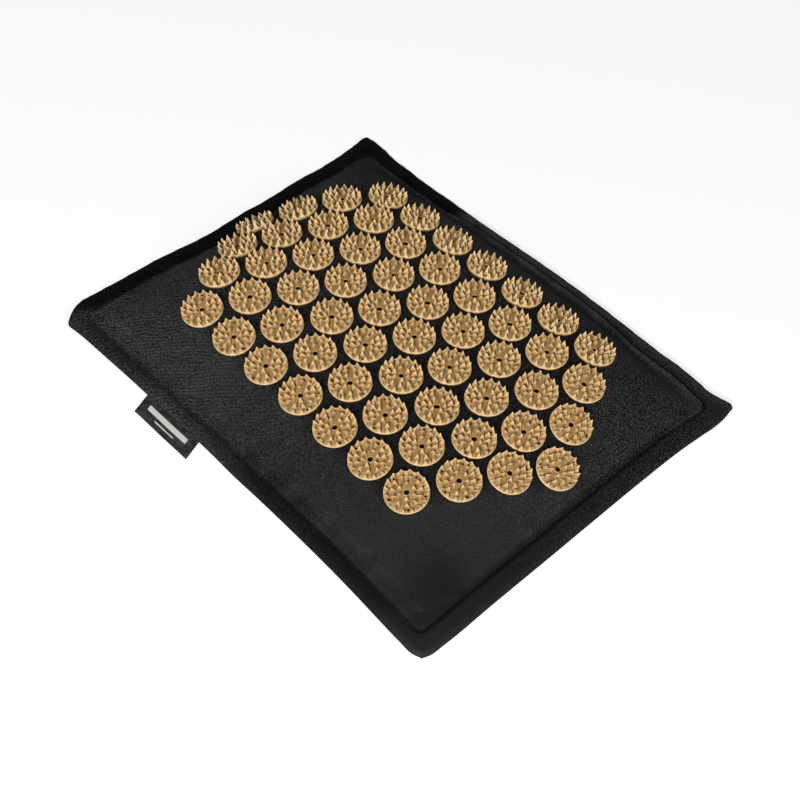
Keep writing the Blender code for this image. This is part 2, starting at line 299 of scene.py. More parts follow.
left_edge = (
    (-118.8, -149.55), (-114.5, -152.35), (-111, -154.35), (-108, -154.4), (-98, -154.05), (-76, -153.55),
    (-56, -153.35), (-38, -151.85), (-20, -150.55), (-4, -150.95), (12, -151.75), (27, -151.35),
    (43, -151.95), (59, -152.75), (75, -152.25), (93, -152.9), (103, -153.8), (109, -154.6),
    (114, -155.4), (120, -156.2), (123.4, -155.8),
)
right_edge = (
    (-126.3, 153), (-122, 154.6), (-113, 155.2), (-76, 155.4), (-31, 155.8), (7, 156), (45, 156.4),
    (76, 157.3), (97, 159), (104, 159.7), (108, 159.8), (112.5, 159.7), (118.5, 159.1), (123.4, 158.4),
)


def through(table, at):
    """A smooth line through points in mm: a cubic between each two, with slopes from their neighbours."""
    known, value = np.array(table, float).T / 1000
    slope = np.gradient(value, known)
    k = np.clip(np.searchsorted(known, at) - 1, 0, len(known) - 2)
    gap = known[k + 1] - known[k]
    t = (at - known[k]) / gap
    rise = (1 + 2 * t) * (1 - t) ** 2 * value[k] + t**2 * (3 - 2 * t) * value[k + 1]
    return rise + gap * (t * (1 - t) ** 2 * slope[k] - t**2 * (1 - t) * slope[k + 1])


def eased(share):
    """0 to 1 with a level start and end: 3 times the share's square less twice its cube."""
    share = np.clip(share, 0, 1)
    return share * share * (3 - 2 * share)


def stepped(at, table):
    """A share that is given at a few places, and goes from each to the next in one eased step."""
    place, share = np.array(table, float).T
    k = np.clip(np.searchsorted(place, at) - 1, 0, len(place) - 2)
    return share[k] + (share[k + 1] - share[k]) * eased((at - place[k]) / (place[k + 1] - place[k]))


def bell(place, middle, reach):
    """1 at the middle, and e to the minus the square of distance over reach away from it."""
    return np.exp(-((place - middle) ** 2).sum(-1) / reach**2)


def waves(at, table):
    """A sum of sine waves, each with its length, its start in radians and its share."""
    return sum(share * np.sin(at * 2 * np.pi / length + start) for length, start, share in table)


def ragged(along_hem):
    """How far a hem strays: waves of unequal length, made steeper by a hyperbolic tangent."""
    return rag_depth * np.tanh(rag_steepness * waves(along_hem, rag_waves))


def sewn_place(along, across):
    """Floor place of a point of the flat cut: the four edge lines, each carried over to the one opposite.

    Each point is the sum of its places between the near and far lines and between the left and right lines,
    less its place between the four corners. The left and far hems are a little ragged.
    """
    a, b = along / flat_length, across / flat_width
    near_x, far_x, left_y, right_y = (
        np.interp(share, (0, 1), (table[0][0] / 1000, table[-1][0] / 1000))
        for share, table in ((a, near_edge), (a, far_edge), (b, left_edge), (b, right_edge))
    )
    near = np.stack((near_x, through(near_edge, near_x)), -1)
    far = np.stack((far_x, through(far_edge, far_x)), -1)
    left = np.stack((through(left_edge, left_y), left_y), -1)
    right = np.stack((through(right_edge, right_y), right_y), -1)
    corner = [np.array(table[end], float) / 1000 for table in (near_edge, far_edge) for end in (0, -1)]
    a, b = a[..., None], b[..., None]
    flat = (1 - a) * ((1 - b) * corner[0] + b * corner[2]) + a * ((1 - b) * corner[1] + b * corner[3])
    place = (1 - b) * near + b * far + (1 - a) * left + a * right - flat
    far_rag = ragged(along) * np.exp(-((flat_width - across) / rag_reach))
    left_rag = ragged(across + left_rag_start) * np.exp(-along / rag_reach)
    return place + np.stack((left_rag, far_rag), -1)


def seam_stray(along, across):
    """How far the seam's pattern is moved across: the far seam's stray, eased to none by the middle."""
    stray = np.interp(along, *np.array(far_seam_stray).T)
    return stray * eased((across - flat_width / 2) / (flat_width / 3))


def from_seam(along, across):
    """Distance inwards from the seam, a rectangle with rounded corners, and below zero on the flange."""
    across = across + seam_stray(along, across)
    middle_x = (flange["left"] + flat_length - flange["right"]) / 2
    middle_y = (flange["near"] + flat_width - flange["far"]) / 2
    radius = np.where((along < middle_x) & (across > middle_y), far_left_corner, seam_corner)
    half_x = (flat_length - flange["left"] - flange["right"]) / 2 - radius
    half_y = (flat_width - flange["near"] - flange["far"]) / 2 - radius
    over_x, over_y = np.abs(along - middle_x) - half_x, np.abs(across - middle_y) - half_y
    outside = np.hypot(np.maximum(over_x, 0), np.maximum(over_y, 0))
    return radius - outside - np.minimum(np.maximum(over_x, over_y), 0)


def from_sides(along, across):
    """Distance from each cut edge, in the order left, right, near, far."""
    return along, flat_length - along, across, flat_width - across


def by_side(sizes, along, across):
    """A size by side, blended round the corners: each side counts by e to the minus its distance."""
    weights = [np.exp(-distance / side_blend) for distance in from_sides(along, across)]
    return sum(weight * size for weight, size in zip(weights, sizes)) / sum(weights)


def seated(x, y, height):
    """The cloth lies in each disc's own plane under it, and eases back to the crown between discs.

    Gives the height there, and how far the cloth belongs to a disc's seat, 0 to 1.
    """
    total, weights = np.zeros_like(height), np.zeros_like(height)
    for middle, normal in zip(disc_middles, disc_normals):
        off_x, off_y = x - middle[0], y - middle[1]
        plane = middle[2] - (normal[0] * off_x + normal[1] * off_y) / normal[2]
        reach = np.sqrt(off_x**2 + off_y**2 + (plane - middle[2]) ** 2)
        weight = 1 - eased((reach - seat_flat) / (seat_fade - seat_flat))
        total += weight * plane
        weights += weight
    return (total + np.maximum(1 - weights, 0) * height) / np.maximum(weights, 1), np.minimum(weights, 1)


def gathered(along, across, inwards):
    """Gathers across the seam: waves along the nearest side, under a bell curve just inside the seam."""
    left, right, near, far = from_sides(along, across)
    by_end = np.minimum(left, right) < np.minimum(near, far)
    wave = np.where(by_end, waves(across, end_gathers), waves(along, side_gathers))
    inside = np.exp(-(((inwards - gather_place) / gather_reach) ** 2))
    return wave * inside * by_side(gather_depths, along, across)


def flange_height(along, across):
    """Height of the flange's upper side: a parabola from the hem, level at the seam, plus the far curl."""
    high = stepped(along, far_seam_high)
    left, right, near, far = seam_heights
    seam = by_side((left, right, near, far + (left - far) * high), along, across)
    off_x, off_y = along / pressed_reach, (across - pressed_place) / pressed_reach
    seam = seam - pressed_depth * np.exp(-(off_y**2) - off_x**2)
    left, right, near, far = hem_slopes
    slope = by_side((left, right, near, far + (left - far) * high), along, across)
    climb = np.clip(np.minimum.reduce(from_sides(along, across)) / slope, 0, 1)
    middle, half_width, height = far_curl
    curl = height * (1 - high) * np.exp(-(((flat_width - across - middle) / half_width) ** 2))
    return hem_height + (seam - hem_height) * climb * (2 - climb) + curl


def upper_height(along, across):
    """Height of the upper panel: the flange, a stitched groove, an eased shoulder, then the crown."""
    place = sewn_place(along, across)
    x, y = place[..., 0], place[..., 1]
    inwards = from_seam(along, across)
    start, width = by_side(shoulder_starts, along, across), by_side(shoulders, along, across)
    reach = np.clip((inwards - start) / width, 0, 1)
    crown, seat = seated(x, y, crown_height(x, y))
    flange_top = flange_height(along, across)
    height = flange_top + np.where(inwards > 0, (crown - flange_top) * eased(reach), 0)
    height += (np.minimum(height, crown) - height) * seat
    groove = np.exp(-((inwards / by_side(groove_widths, along, across)) ** 2))
    inner = np.maximum(inwards, 0)
    roll = (1 - np.exp(-inner / roll_rise)) * np.exp(-inner / roll_reach)
    height += by_side(roll_heights, along, across) * roll
    gathers = gathered(along, across, inwards) * (reach < 1) * (1 - seat)
    return height - by_side(groove_depths, along, across) * groove + gathers


def under_height(along, across):
    """Height of the lower panel: flat on the floor, curling up to the seam, and one ply below the flange."""
    inwards = from_seam(along, across)
    flange_under = flange_height(along, across) - cloth_ply
    curl = np.clip(1 - inwards / underside_roll, 0, 1) ** underside_power
    return np.where(inwards > 0, flange_under * curl, flange_under) + floor_gap


def grid_lines(length):
    """Places along a side: close together over the seam, wider on the flange and widest in the middle."""
    hem = np.arange(0, seam_zone[0], 2 * edge_step)
    seam = np.arange(*seam_zone, edge_step)
    inner = np.arange(seam_zone[1], edge_zone, 2 * edge_step)
    ends = np.concatenate((hem, seam, inner))
    middle = np.linspace(edge_zone, length - edge_zone, round((length - 2 * edge_zone) / middle_step) + 1)
    return np.concatenate((ends, middle, (length - ends)[::-1]))


def grid_rim(rows, columns):
    """Numbers of the points round a grid's rim, whose points run along the columns first."""
    index = np.arange(rows * columns).reshape(rows, columns)
    return np.concatenate((index[0, :-1], index[:-1, -1], index[-1, :0:-1], index[:0:-1, 0]))


def closed_shell(front, back, rows, columns, fold=None):
    """Points and faces of a shell: a grid that faces out, another behind it, and a wall from rim to rim.

    The wall goes by way of a fold where there is one, with a point for each point of the rim.
    """
    k = np.arange((rows - 1) * columns).reshape(rows - 1, columns)[:, :-1].ravel()
    quads = np.stack((k, k + 1, k + 1 + columns, k + columns), 1)
    rim = grid_rim(rows, columns)
    points, rings = [front, back], [rim, rim + len(front)]
    if fold is not None:
        points.append(fold)
        rings.insert(1, 2 * len(front) + np.arange(len(rim)))
    walls = [np.stack((a, b, np.roll(b, -1), np.roll(a, -1)), 1) for a, b in zip(rings, rings[1:])]
    return np.concatenate(points), np.concatenate([quads, quads[:, ::-1] + len(front)] + walls).tolist()


def make_piece(name, points, faces, material, uv=None, smooth_angle=None):
    """An object at the origin from points and faces. A UV map gives each point a pair in metres."""
    mesh = bpy.data.meshes.new(name)
    mesh.from_pydata(points.tolist(), [], faces)
    if uv is not None:
        corners = np.empty(len(mesh.loops), np.int32)
        mesh.loops.foreach_get("vertex_index", corners)
        mesh.uv_layers.new(name="cloth").data.foreach_set("uv", uv.astype(np.float32)[corners].ravel())
    mesh.shade_smooth()
    if smooth_angle:
        mesh.set_sharp_from_angle(angle=math.radians(smooth_angle))
    mesh.materials.append(material)
    piece = bpy.data.objects.new(name, mesh)
    scene.collection.objects.link(piece)
    return piece


# Painted shade on the cloth. Each table of pairs gives a place, in metres along, across or inwards from the
# seam, and the share there. The left hem and the far one beside it carry a painted shadow, that of the
# padded middle.
hem_shadow_sides = ((0.25, 0.0), (0.875, 1.0))
hem_shadow_inwards = ((-0.0006, 1.0), (0.0002, 0.0))
# Painted shade on the flange, by side, with how the right one's goes across the mat and the near one's
# along it.
flange_darks = (0.0, 0.28, 0.6, 0.0)
flange_dark_inwards = ((-0.0005, 1.0), (0.0005, 0.0))
right_flange_across = ((0.0, 0.0), (0.04, 1.0))
near_flange_along = ((0.055, 0.75), (0.095, 0.0), (0.135, 0.0), (0.185, 1.0), (0.265, 1.0), (0.295, 0.3))
# The painted shade in the seam's crease, by side: how dark, and its half width outwards and inwards. It is
# wider at the right of the far side, and nearly lost at the far end of the right side.
seam_darks = (0.6, 0.8, 0.3, 1.0)
seam_dark_outwards = (0.0008, 0.0009, 0.0022, 0.0008)
seam_dark_inwards = (0.0008, 0.0026, 0.0034, 0.0007)
wider_by = 0.0007
wider_along = ((0.2, 0.0), (0.25, 1.0))
wider_across = ((0.2, 0.0), (0.22, 1.0))
paler_by = 0.8
paler_along = ((0.285, 0.0), (0.295, 1.0))
paler_across = ((0.20, 0.0), (0.22, 1.0), (0.236, 1.0), (0.240, 0.0))
# Painted shade in the hollow at the corner nearest the camera, on the slope behind the far left discs, and
# in the gathers inside the near seam: place, reach and darkness.
painted_shade_places = (
    (0.130, -0.090, 0.018, 0.5), (-0.124, 0.104, 0.030, 0.55), (0.004, -0.113, 0.011, 0.35),
    (0.024, -0.113, 0.011, 0.45), (0.044, -0.113, 0.011, 0.4), (0.064, -0.114, 0.009, 0.2),
)
# Painted shade in the gaps between discs: reach of each disc's bell curve, and darkness by the sum of all
# of them.
crowd_reach = 0.019
crowd_darks = ((0.7, 0.0), (1.3, 0.5))
# The strip inside the far seam with a painted highlight, on the roll of cloth there: by side, then its
# middle and half width inwards.
highlight_sides = (0.0, 0.0, 0.0, 0.8)
highlight_middle = 0.0022
highlight_width = 0.0021
highlight_inwards = ((0.0006, 0.0), (0.0013, 1.0))
highlight_along = ((0.105, 0.0), (0.145, 1.0))
# Where the nap stands up, the cloth is painted paler, as its sheen, and its weave shows more contrast.
# The nap is pressed smooth near this corner of the mat, and in a strip along the far seam.
smooth_corner = (0.153, -0.126)
nap_away = ((0.03, 0.1), (0.22, 1.0))
far_strip_nap = 0.5
far_strip_across = ((-0.030, 0.0), (-0.020, 1.0))
far_strip_along = ((0.1, 0.0), (0.13, 1.0))


def darkened(along, across):
    """Painted shade on the cloth, 0 to 1, and below zero where a painted highlight makes it paler.

    It is the darkest of the painted shadow on the left and far hems, and the painted shade on the flange,
    in the seam's crease, in the shaded places and in the gaps between discs, less the highlit strip. The
    seam's shade and the highlit strip are bell curves across the seam.
    """
    inwards = from_seam(along, across)
    # Painted shadow of the padded middle on the left hem and the far one beside it.
    hem_shadow_share = by_side((1.0, 0.0, 0.0, stepped(along, far_seam_high)), along, across)
    hem = stepped(inwards, hem_shadow_inwards) * stepped(hem_shadow_share, hem_shadow_sides)
    # Painted shade on the flange.
    left, right, near, far = flange_darks
    right, near = right * stepped(across, right_flange_across), near * stepped(along, near_flange_along)
    flat = by_side((left, right, near, far), along, across) * stepped(inwards, flange_dark_inwards)
    # Painted shade in the seam's crease.
    inner, outer = by_side(seam_dark_inwards, along, across), by_side(seam_dark_outwards, along, across)
    width = np.where(inwards > 0, inner, outer)
    width = width + wider_by * stepped(along, wider_along) * stepped(across, wider_across)
    line = by_side(seam_darks, along, across) * np.exp(-((inwards / width) ** 2))
    line = line * (1 - paler_by * stepped(along, paler_along) * stepped(across, paler_across))
    place = sewn_place(along, across)
    # Painted shade in the hollow, on the slope and in the gathers.
    place_shade = np.maximum.reduce([depth * bell(place, (x, y), reach) for x, y, reach, depth in painted_shade_places])
    # Painted shade in the gaps between discs, where they shade the cloth.
    shade_between_discs = stepped(sum(bell(place, middle[:2], crowd_reach) for middle in disc_middles), crowd_darks)
    # Painted highlight on the roll of cloth inside the far seam, as shade below zero.
    strip = np.exp(-(((inwards - highlight_middle) / highlight_width) ** 2)) * stepped(inwards, highlight_inwards)
    rubbed_and_highlit = by_side(highlight_sides, along, across) * strip * stepped(along, highlight_along)
    return np.maximum.reduce((hem, flat, line, place_shade, shade_between_discs)) - rubbed_and_highlit


def napped(along, across):
    """How far the cloth's nap stands up, 0 to 1: more away from the smooth corner, less in the far strip."""
    away = np.linalg.norm(sewn_place(along, across) - smooth_corner, axis=-1)
    far_strip = stepped(across - flat_width, far_strip_across) * stepped(along, far_strip_along)
    return stepped(away, nap_away) * (1 - far_strip_nap * far_strip)


# Woven polyester: round threads 0.5 mm apart, drawn 1.15 mm apart so that they show. Each thread's top
# has a painted highlight and the gaps a painted shade, under a fuzz of 0.5 mm fibres with painted glints.
# At the left the weave has a painted slanting shimmer, twice as wide. The dye is worn in patches 45 mm wide.
thread_pitch = 0.00115
thread_share = 0.10
shimmer_share = 0.095
rib_wander = 0.006
darkest_share = 0.86


def ribs(tree, pitch, heading, wander_size):
    """Ribs along a heading of the UV map, 0 to 1: a sine of the distance, which noise shifts."""
    uv = add_node(tree, "UVMap", {"uv_map": "cloth"})
    wander = add_node(tree, "TexNoise", Vector=uv, Scale=1 / wander_size, Detail=2.0)
    turn = math.radians(heading)
    way = add_node(tree, "VectorMath", "DOT_PRODUCT", _0=uv, _1=(math.cos(turn), math.sin(turn), 0))
    shifted = add_node(tree, "Math", "MULTIPLY_ADD", _0=wander, _1=rib_wander, _2=way.outputs["Value"])
    phase = add_node(tree, "Math", "MULTIPLY", _0=shifted, _1=2 * math.pi / pitch)
    wave = add_node(tree, "Math", "SINE", _0=phase)
    return add_node(tree, "MapRange", Value=wave, From_Min=-1.0, From_Max=1.0)


cloth, tree = new_tree(bpy.data.materials, "black_woven_polyester")
rib = ribs(tree, thread_pitch, heading=0, wander_size=0.03)
shimmer = ribs(tree, 2 * thread_pitch, heading=-48, wander_size=0.02)
spot = add_node(tree, "TexCoord").outputs["Object"]
nap_sheen = add_node(tree, "Attribute", {"attribute_name": "nap_sheen"}).outputs["Fac"]
painted_shading = add_node(tree, "Attribute", {"attribute_name": "painted_shading"}).outputs["Fac"]
drawn_out = add_node(tree, "VectorMath", "MULTIPLY", _0=spot, _1=(1.0, 0.5, 1.0))
fibre = add_node(tree, "TexNoise", Vector=drawn_out, Scale=2000.0, Detail=1.0)
ribbed = add_node(tree, "Math", "MULTIPLY_ADD", _0=rib, _1=thread_share, _2=fibre)
x = add_node(tree, "SeparateXYZ", _0=spot)
left = add_node(tree, "MapRange", Value=x, From_Min=-0.05, From_Max=0.05, To_Min=shimmer_share, To_Max=0.0)
threads = add_node(tree, "Math", "MULTIPLY_ADD", _0=shimmer, _1=left, _2=ribbed)
# Painted highlight on the thread tops and fibres, painted shade in the gaps.
lit = add_node(tree, "MapRange", Value=threads, From_Min=0.53, From_Max=0.77)
# The painted sheen of standing nap lifts the colour.
level = add_node(tree, "Math", "MULTIPLY_ADD", _0=nap_sheen, _1=0.07, _2=0.18)
centred = add_node(tree, "Math", "SUBTRACT", _0=lit, _1=0.30)
raised = add_node(tree, "Math", "MULTIPLY_ADD", _0=centred, _1=nap_sheen, _2=level)
shaded_weave = add_node(tree, "Mix", as_colour, _0=raised, _6=linear("000000"), _7=linear("525254"))
cloud = add_node(tree, "TexNoise", Vector=spot, Scale=22.0, Detail=3.0)
worn = add_node(tree, "MapRange", Value=cloud, From_Min=0.3, From_Max=0.7, To_Min=0.86, To_Max=1.12)
# Painted shade dims the colour and the specular level; below zero it is a painted highlight.
kept = add_node(tree, "Math", "MULTIPLY_ADD", _0=painted_shading, _1=-darkest_share, _2=1.0)
share = add_node(tree, "Math", "MULTIPLY", _0=worn, _1=kept)
shade = add_node(tree, "VectorMath", "SCALE", _0=shaded_weave.outputs[2], Scale=share)
shine = add_node(tree, "Math", "MULTIPLY", _0=kept, _1=0.25)
relief = add_node(tree, "Bump", Strength=0.6, Distance=0.0002, Height=raised)
surface = add_node(
    tree, "BsdfPrincipled", Base_Color=shade, Roughness=0.66, Specular_IOR_Level=shine, Sheen_Weight=0.01,
    Sheen_Roughness=0.5, Normal=relief,
)
add_node(tree, "OutputMaterial", Surface=surface)

columns, rows = grid_lines(flat_length), grid_lines(flat_width)
along, across = (grid.ravel() for grid in np.meshgrid(columns, rows))
# The rows follow the far seam's stray, so that each keeps its distance from it and the groove is even.
across = across - seam_stray(along, across) * np.clip((flat_width - across) / flange["far"], 0, 1)
cut = np.column_stack((along, across))
floor_place = sewn_place(along, across)
upper = np.column_stack((floor_place, upper_height(along, across)))
under = np.column_stack((floor_place, under_height(along, across)))
# The fold of the hem stands out a little, halfway between the two panels.
rim = grid_rim(len(rows), len(columns))
run = np.roll(floor_place[rim], -1, 0) - np.roll(floor_place[rim], 1, 0)
outwards = np.column_stack((run[:, 1], -run[:, 0])) / np.linalg.norm(run, axis=1, keepdims=True)
fold = np.column_stack((floor_place[rim] + outwards * hem_round, (upper[rim, 2] + under[rim, 2]) / 2))
points, faces = closed_shell(upper, under, len(rows), len(columns), fold)
cover = make_piece("cover_panels", points, faces, cloth, uv=np.concatenate((cut, cut, cut[rim])))
# The painted shade and highlight of the cloth, and its nap with its painted sheen, go on each point.
for name, values in (("painted_shading", darkened(along, across)), ("nap_sheen", napped(along, across))):
    values = np.concatenate((values, values, values[rim])).astype(np.float32)
    cover.data.attributes.new(name, "FLOAT", "POINT").data.foreach_set("value", values)
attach(cover, "root")
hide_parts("cover")

# The foam pad
# One slab of soft grey polyurethane foam, cut 12 mm inside the seam and squeezed into the cover.
# Its edges are pressed thin by the cloth.
foam_inset = 0.012
foam_depth = 0.0032
foam_floor = 0.0014
foam_columns = 70
foam_rows = 56

# Polyurethane foam: open cells half a millimetre wide, matt and mid grey.
foam, tree = new_tree(bpy.data.materials, "grey_polyurethane_foam")
spot = add_node(tree, "TexCoord").outputs["Object"]
cells = add_node(tree, "TexVoronoi", Vector=spot, Scale=1800.0).outputs["Distance"]
grey = add_node(tree, "Mix", as_colour, _0=cells, _6=linear("6E6E6B"), _7=linear("9C9C98"))
pits = add_node(tree, "Bump", Strength=0.6, Distance=0.0003, Height=cells)
surface = add_node(tree, "BsdfPrincipled", Base_Color=grey.outputs[2], Roughness=0.95, Normal=pits)
add_node(tree, "OutputMaterial", Surface=surface)

columns = np.linspace(flange["left"] + foam_inset, flat_length - flange["right"] - foam_inset, foam_columns)
rows = np.linspace(flange["near"] + foam_inset, flat_width - flange["far"] - foam_inset, foam_rows)
floor_place = sewn_place(*(grid.ravel() for grid in np.meshgrid(columns, rows)))
foam_top = np.column_stack((floor_place, crown_height(floor_place[:, 0], floor_place[:, 1]) - foam_depth))
foam_base = np.column_stack((floor_place, np.full(len(floor_place), foam_floor)))
points, faces = closed_shell(foam_top, foam_base, foam_rows, foam_columns)
core = make_piece("foam_core", points, faces, foam, smooth_angle=40)
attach(core, "root")
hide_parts("foam_pad")

# The spiked discs
# Each is one moulding in tan plastic: a thin round plate with 33 sharp pyramids in three rings, a rim lip
# and five small holes. A hollow rivet goes down through the cloth from its middle, and is spread to a
# flange below it.
disc_radius = 0.0125
disc_sides = 96
disc_sharp_angle = 24
plate_top = 0.0019
plate_skin = 0.0007
skin_base = plate_top - plate_skin
rim_inside = 0.0119
lip_radius = 0.0023
bead = 0.0001
rivet_radius = 0.0026
rivet_bore = 0.0015
bore_wide = 0.0022
rivet_flange = 0.0043
rivet_flange_top = -0.0012
rivet_flange_base = -0.0022
# Radius and height of each corner of the plate and rivet in section: the rivet's outside, the plate's
# underside, rim, top and lip, and the widened bore.
disc_profile = (
    (rivet_bore, rivet_flange_base), (rivet_flange, rivet_flange_base), (rivet_flange, rivet_flange_top),
    (rivet_radius, rivet_flange_top), (rivet_radius, skin_base), (0.0115, skin_base), (0.0116, 0.0),
    (rim_inside, 0.0), (0.0123, 0.0008), (disc_radius, 0.0012), (disc_radius, plate_top - bead),
    (0.0123, plate_top + bead), (0.0120, plate_top), (lip_radius, plate_top), (0.0020, plate_top + 2 * bead),
    (0.0017, plate_top + 2 * bead), (rivet_bore, plate_top), (rivet_bore, plate_top - 0.0005),
    (bore_wide, plate_top - 0.0007), (bore_wide, rivet_flange_base + 0.0005),
    (rivet_bore, rivet_flange_base + 0.0003),
)
rim_holes = 5
rim_hole_radius = 0.0008
rim_hole_circle = 0.0103
rim_hole_sides = 16
drill_middle = 0.003
drill_length = 0.008
# Count, radius of the ring, reach of the inner ridge and of the outer face, half its width, and first
# turn in degrees.
spike_rings = (
    (6, 0.0043, 0.0021, 0.0014, 0.0021, 30.0),
    (11, 0.0081, 0.0038, 0.0014, 0.0021, 16.36),
    (16, 0.0119, 0.0036, 0.0004, 0.0020, 0.0),
)
spike_height = 0.0037
spike_root = 0.0003
spike_side = 4
# Share of the foot's size, and share of the height, from the foot up.
spike_profile = ((1.0, 0.0), (0.8, 0.15), (0.59, 0.35), (0.4, 0.57), (0.23, 0.8), (0.09, 1.0))
# How far the middle of each face comes in to the axis, the outer face second.
spike_hollows = (0.34, 0.10, 0.34)
# Painted highlights run along the ridges, in a band this wide each way, and round the rim. Painted shade
# lies in the valleys, up to this share of the spikes' height.
ridge_width = 0.00034
rim_highlight = 0.7
rim_share = 0.1
valley_dark = 0.3
valley_share = 1 / 3


def lathed(profile, sides):
    """Points and quads of a closed profile of radii and heights, carried once round the axis."""
    radius, height = np.array(profile).T
    turn = 2 * np.pi * np.arange(sides) / sides
    x, y = np.cos(turn)[:, None] * radius, np.sin(turn)[:, None] * radius
    points = np.stack((x, y, np.broadcast_to(height, x.shape)), -1).reshape(-1, 3)
    index = np.arange(len(points)).reshape(sides, len(radius))
    after = np.roll(index, -1, 0)
    quads = np.stack((index, after, np.roll(after, -1, 1), np.roll(index, -1, 1)), -1)
    return points, quads.reshape(-1, 4)


def spike_corners(inwards, outwards, half_width):
    """Corners of a pyramid's foot: the inner ridge's end and the two ends of the flat outer face."""
    return (-inwards, 0), (outwards, -half_width), (outwards, half_width)


def spike(ring_radius, corners, turn):
    """Rings of points from the root of a pyramid to its tip: a triangle that shrinks as it climbs.

    One ridge points to the disc's middle and two bound the outer face. The faces are hollow: their points
    come in by a parabola along each side. The foot flares a little and the tip is blunt.
    """
    share = np.arange(spike_side)[:, None] / spike_side
    sides = []
    for start, end, hollow in zip(np.array(corners), np.roll(corners, -1, 0), spike_hollows):
        sides.append((start * (1 - share) + end * share) * (1 - hollow * 4 * share * (1 - share)))
    outline = np.concatenate(sides)
    size, climb = np.array(spike_profile).T[:, :, None]
    radial, sideways = ring_radius + size * outline[:, 0], size * outline[:, 1]
    height = plate_top - spike_root + (spike_height + spike_root) * climb + 0 * radial
    x = radial * math.cos(turn) - sideways * math.sin(turn)
    y = radial * math.sin(turn) + sideways * math.cos(turn)
    return np.stack((x, y, height), -1)


def disc_painted_light(points):
    """Painted highlight and painted shade on the disc, 0 to 1 for each point.

    The painted highlight falls as a bell curve from each ridge, times the root of the share of a spike's
    height there, and lies on the rim too. The painted shade is 1 in the bore below its lip, and in the
    valleys it falls with height.
    """
    x, y, z = points.T
    share = np.clip((z - plate_top) / spike_height, 0, 1)
    painted_highlight = np.zeros(len(points))
    for count, radius, inwards, outwards, half_width, first in spike_rings:
        for turn in math.radians(first) + 2 * np.pi * np.arange(count) / count:
            out = x * math.cos(turn) + y * math.sin(turn) - radius
            side = y * math.cos(turn) - x * math.sin(turn)
            for end in spike_corners(inwards, outwards, half_width):
                length = math.hypot(*end)
                along_ridge = (out * end[0] + side * end[1]) / length
                off_ridge = abs(out * end[1] - side * end[0]) / length
                on = (along_ridge > -ridge_width) & (along_ridge < length)
                # Painted highlight along each ridge.
                painted_highlight = np.maximum(painted_highlight, on * np.exp(-((off_ridge / ridge_width) ** 2)) * np.sqrt(share))
    from_axis = np.hypot(x, y)
    rim = (from_axis > rim_inside) & (z > plate_top - 2 * bead) & (share < rim_share)
    valley = (from_axis < rim_inside) & (from_axis > lip_radius) & (z > plate_top - bead)
    bore = (from_axis < bore_wide + bead) & (z < plate_top - 4 * bead)
    # Painted shade in the valleys, and in the bore.
    valley_shade = valley * valley_dark * np.clip(1 - share / valley_share, 0, 1)
    return np.maximum(painted_highlight, rim_highlight * rim), np.maximum(bore, valley_shade)


def disc_mesh():
    """One disc about its own axis: the lathed plate and rivet, the spikes on it, and the rim holes cut."""
    built = bmesh.new()
    points, quads = lathed(disc_profile, disc_sides)
    verts = [built.verts.new(p) for p in points]
    for quad in quads:
        built.faces.new([verts[k] for k in quad])
    for count, radius, inwards, outwards, half_width, first in spike_rings:
        corners = spike_corners(inwards, outwards, half_width)
        for k in range(count):
            rings = spike(radius, corners, math.radians(first) + 2 * math.pi * k / count)
            loops = [[built.verts.new(p) for p in ring] for ring in rings]
            built.faces.new(loops[0][::-1])
            for lower, higher in zip(loops, loops[1:]):
                for j in range(len(lower)):
                    built.faces.new((lower[j - 1], lower[j], higher[j], higher[j - 1]))
            built.faces.new(loops[-1])
    bmesh.ops.recalc_face_normals(built, faces=built.faces)

    drill = bmesh.new()
    for k in range(rim_holes):
        turn = 2 * math.pi * k / rim_holes
        place = (rim_hole_circle * math.cos(turn), rim_hole_circle * math.sin(turn), drill_middle)
        bmesh.ops.create_cone(
            drill, cap_ends=True, segments=rim_hole_sides, radius1=rim_hole_radius, radius2=rim_hole_radius,
            depth=drill_length, matrix=Matrix.Translation(place),
        )
    stands = []
    for name, shape in (("disc_blank", built), ("drill", drill)):
        mesh = bpy.data.meshes.new(name)
        shape.to_mesh(mesh)
        shape.free()
        stands.append(bpy.data.objects.new(name, mesh))
        scene.collection.objects.link(stands[-1])
    blank, cutter = stands
    cut = blank.modifiers.new("rim holes", "BOOLEAN")
    cut.operation = "DIFFERENCE"
    cut.solver = "EXACT"
    cut.use_self = True
    cut.object = cutter
    bpy.context.view_layer.update()
    done = bpy.data.meshes.new_from_object(blank.evaluated_get(bpy.context.evaluated_depsgraph_get()))
    for stand in stands:
        bpy.data.objects.remove(stand)
    done.shade_smooth()
    done.set_sharp_from_angle(angle=math.radians(disc_sharp_angle))
    points = np.empty(len(done.vertices) * 3)
    done.vertices.foreach_get("co", points)
    for name, values in zip(("painted_highlight", "painted_shading"), disc_painted_light(points.reshape(-1, 3))):
        done.attributes.new(name, "FLOAT", "POINT").data.foreach_set("value", values)
    return done


